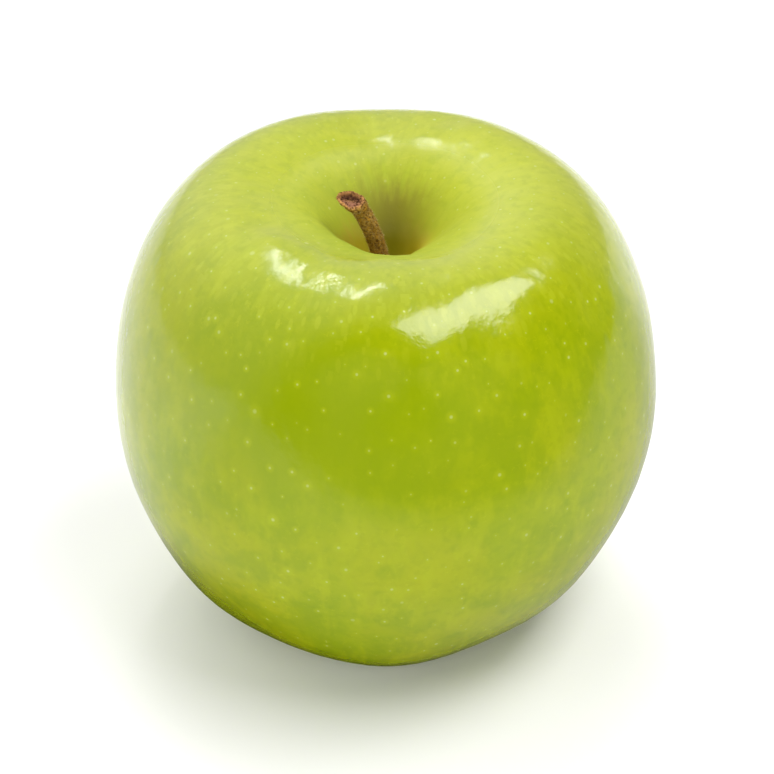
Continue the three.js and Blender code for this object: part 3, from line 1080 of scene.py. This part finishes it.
def makeCalyx(material):
    # a cup set in the recess, five curled sepals and a ring of stamens that hang from its floor
    turn = turnsOf(calyx["cupColumns"])
    cup = splineRows(cupPoles, 3)
    wobble = 1 + 0.02 * np.cos(5 * turn) + 0.015 * np.cos(9 * turn + 1)
    wobble = np.minimum(cup[:, :1] * wobble, calyx["tubeRadius"])
    grid = np.stack([wobble * np.cos(turn), wobble * np.sin(turn), cup[:, 1:] + 0 * turn], -1)
    flow = flowAlong(turn, cup[:, 1:])
    top, mouth = (0, 0, cupTop), (0, 0, cupMouth)
    vertices, faces = closedSurface(grid, [top], [mouth])
    parts = [(vertices, faces, {"flow": withEnds(flow, top, mouth)})]
    skins = []

    along = np.linspace(0, 1, 34)
    for i in range(lobes):
        azimuth = lobeAzimuth + (i + 0.5) * fullTurn / lobes
        reach = 1 + 0.12 * math.sin(2.3 * i)
        profile = [(1.9, 7.5), (2.25, 6.2), (1.7, 4.9), (1.35, 3.9), (2.3 * reach, 2.8), (3.9 * reach, 2.7)]
        line = route(standing(profile, azimuth), along)
        bulge = 0.35 + 0.65 * np.sin(math.pi * (0.95 - 0.6 * along))
        width = calyx["sepalWidth"] * bulge * np.maximum(1 - along**3, 0) ** 0.8
        width = np.maximum(width, calyx["sepalTipWidth"])
        thick = calyx["sepalThickness"] * (1 - 0.4 * along)
        sideways = np.array([-math.sin(azimuth), math.cos(azimuth), 0])
        outward = np.cross(sideways, unit(np.gradient(line, axis=0)))
        curl = -calyx["sepalCurl"] * (0.6 + 0.3 * math.sin(3 * i))
        grid, part = tubeAlong(line, width, thick, outward, 28, curl)
        parts.append(part)
        skins.append(grid)

    length, spread = calyx["stamenLength"]
    for i in range(calyx["stamens"]):
        azimuth = i * fullTurn / calyx["stamens"] + 0.2
        splay = 0.9 + 0.35 * math.sin(4.1 * i)
        drop = length + spread * math.sin(2.7 * i)
        profile = [(0.9, 7.4), (0.81, 7 - drop / 2), (0.765 * splay, 7 - drop)]
        thread = calyx["stamenRadius"] * (1 - 0.35 * along)
        bead = calyx["anther"] * bell((along - 0.93) / 0.05) * 0.6
        line = route(standing(profile, azimuth), along)
        outward = (-math.sin(azimuth), math.cos(azimuth), 0)
        parts.append(tubeAlong(line, thread + bead, thread + bead, outward, 10)[1])
    vertices, faces, attributes = joinParts(parts)
    makePiece("calyxLeaves", vertices * mm, faces, material, "calyx", attributes)
    return np.stack(skins)


def makeCalyxFuzz(skins, material):
    # hairs at random vertices of the sepals
    draw = np.random.default_rng(60)
    leaf = draw.integers(0, len(skins), size=calyx["hairs"])
    row = draw.integers(4, skins.shape[1] - 2, size=calyx["hairs"])
    column = draw.integers(0, skins.shape[2], size=calyx["hairs"])
    normals = np.stack([gridNormals(skin) for skin in skins])[leaf, row, column]
    lengths = draw.uniform(*calyx["hairLength"], size=calyx["hairs"])
    vertices, faces = hairs(skins[leaf, row, column], normals, lengths, calyx["hairRadius"], 61)
    makePiece("calyxFuzz", vertices * mm, faces, material)


makeCalyxFuzz(makeCalyx(makeLeafMaterial()), fuzzMaterial)


# floor, world and lights

studio = {
    "floor": (0.9, 0.9, 0.9, 1),
    "nearFloor": (0.42, 0.42, 0.42, 1),
    "backFloor": (0.85, 0.85, 0.85, 1),
    # the floor's dark in reflections: beyond the lit area, and the painted shadow round the contact
    "beyond": (0.02, 0.02, 0.02, 1),
    "contact": (-0.012, -0.008, 0.0),
    "paintedShadowReach": (0.014, 0.038),  # metres from the contact over which its shade fades
    "backRange": (-0.06, 0.01),  # metres towards the open side over which the back floor's light fades
    "beyondRange": (0.07, 0.13),
    "white": (1.0, 1.0, 1.0, 1),
    "openSide": (0.5, -0.866, -0.15),  # where the reflections find a dark room
    "darkRange": (-0.12, 0.36),  # cosines from the open side over which the room darkens
    "darkLevel": 0.02,
    "brightSide": (-0.545, 0.545, 0.64),
    "level": 0.3,
    "panel": 1.2,
    "panelFocus": 3.2,
}


def makeFloor():
    # a plain pale plane; in reflections it has painted light and shade: lighter at the back, fading into the
    # dark room on the open side, and a painted shadow round the contact
    corners = [(-3, -3, 0), (3, -3, 0), (3, 3, 0), (-3, 3, 0)]
    mesh = bpy.data.meshes.new("floor")
    mesh.from_pydata(corners, [], [(0, 1, 2, 3)])
    floor = addObject("floor", mesh)
    material, tree, shader, here = newMaterial("paleFloor")
    outward = (studio["openSide"][0], studio["openSide"][1], 0)
    distance = vectorMaths(tree, "DOT_PRODUCT", here, outward, "Value")
    away = between(tree, distance, *studio["beyondRange"])
    behind = between(tree, distance, *studio["backRange"], 1.0, 0.0)
    mirrored = tree.nodes.new("ShaderNodeLightPath").outputs["Is Glossy Ray"]
    dimmed = mixColour(tree, behind, studio["nearFloor"], studio["backFloor"])
    dimmed = mixColour(tree, away, dimmed, studio["beyond"])
    # a painted shadow round the contact, seen in reflections only
    apart = vectorMaths(tree, "DISTANCE", here, studio["contact"], "Value")
    under = between(tree, apart, *studio["paintedShadowReach"], 1.0, 0.0)
    dimmed = mixColour(tree, under, dimmed, studio["beyond"])
    colour = mixColour(tree, mirrored, studio["floor"], dimmed)
    fill(tree, shader, {"Base Color": colour, "Roughness": 0.9, "Specular IOR Level": 0.0})
    mesh.materials.append(material)


def makeWorld():
    # white where the camera sees it; as a light, brightest at the back left and dark on the open side
    world = bpy.data.worlds.new("studio")
    bpy.context.scene.world = world
    world.use_nodes = True
    tree = world.node_tree
    heading = tree.nodes.new("ShaderNodeTexCoord").outputs["Generated"]
    side = Vector(studio["openSide"]).normalized()
    away = vectorMaths(tree, "DOT_PRODUCT", heading, side, "Value")
    panel = vectorMaths(tree, "DOT_PRODUCT", heading, studio["brightSide"], "Value")
    fall = maths(tree, "MULTIPLY_ADD", panel, studio["panelFocus"], -studio["panelFocus"])
    level = maths(tree, "MULTIPLY_ADD", maths(tree, "EXPONENT", fall), studio["panel"], studio["level"])
    lit = between(tree, away, *studio["darkRange"], 1.0, studio["darkLevel"])
    level = maths(tree, "MULTIPLY", level, lit)
    seen = tree.nodes.new("ShaderNodeLightPath").outputs["Is Camera Ray"]
    strength = mixColour(tree, seen, level, studio["white"])
    fill(tree, tree.nodes["Background"], {"Color": studio["white"], "Strength": strength})


# direction towards the light, turn in its own plane, width, height, radiance, lights diffusely, mirrored
softBoxes = {
    "backStrip": ((-0.133, 0.601, 1), -0.385, 0.034, 0.350, 18.0, True, True),
    "backFill": ((-0.133, 0.601, 1), -0.385, 0.5, 0.5, 2.8, True, False),
    "rightBox": ((0.485, -0.128, 1), -0.373, 0.36, 0.82, 6.2, True, True),
    "rightBoxMiddle": ((0.485, -0.128, 1), -0.373, 0.24, 0.66, 7.0, False, True),
    "frontFill": ((-0.25, -1.0, 0.36), 0.0, 0.6, 0.5, 3.0, True, False),
    "leftFill": ((-1.0, -0.5, 0.36), 0.0, 0.6, 0.5, 1.9, True, False),
    "rightFill": ((0.7, -1.0, 0.36), 0.0, 0.6, 0.5, 2.8, True, False),
}
lightDistance = 0.9


def makeLights():
    # soft boxes that face a point in the fruit; power is radiance times pi times area
    middle = Vector((0, 0, 40 * mm))
    for name, (direction, turn, width, height, radiance, lighting, mirrored) in softBoxes.items():
        data = bpy.data.lights.new(name, "AREA")
        data.shape = "RECTANGLE"
        data.size, data.size_y = width, height
        data.energy = radiance * math.pi * width * height
        light = addObject(name, data)
        away = Vector(direction).normalized()
        up = (Vector((0, 1, 0)) - away * away.y).normalized()
        side = up.cross(away)
        across = side * math.cos(turn) + up * math.sin(turn)
        upward = up * math.cos(turn) - side * math.sin(turn)
        pose = Matrix((across, upward, away)).transposed().to_4x4()
        pose.translation = middle + lightDistance * away
        light.matrix_world = pose
        light.visible_diffuse = lighting
        light.visible_glossy = mirrored
        light.visible_camera = False


makeFloor()
makeWorld()
makeLights()
bpy.context.scene.view_settings.view_transform = "Standard"
bpy.context.scene.cycles.use_denoising = True
print("studio set")
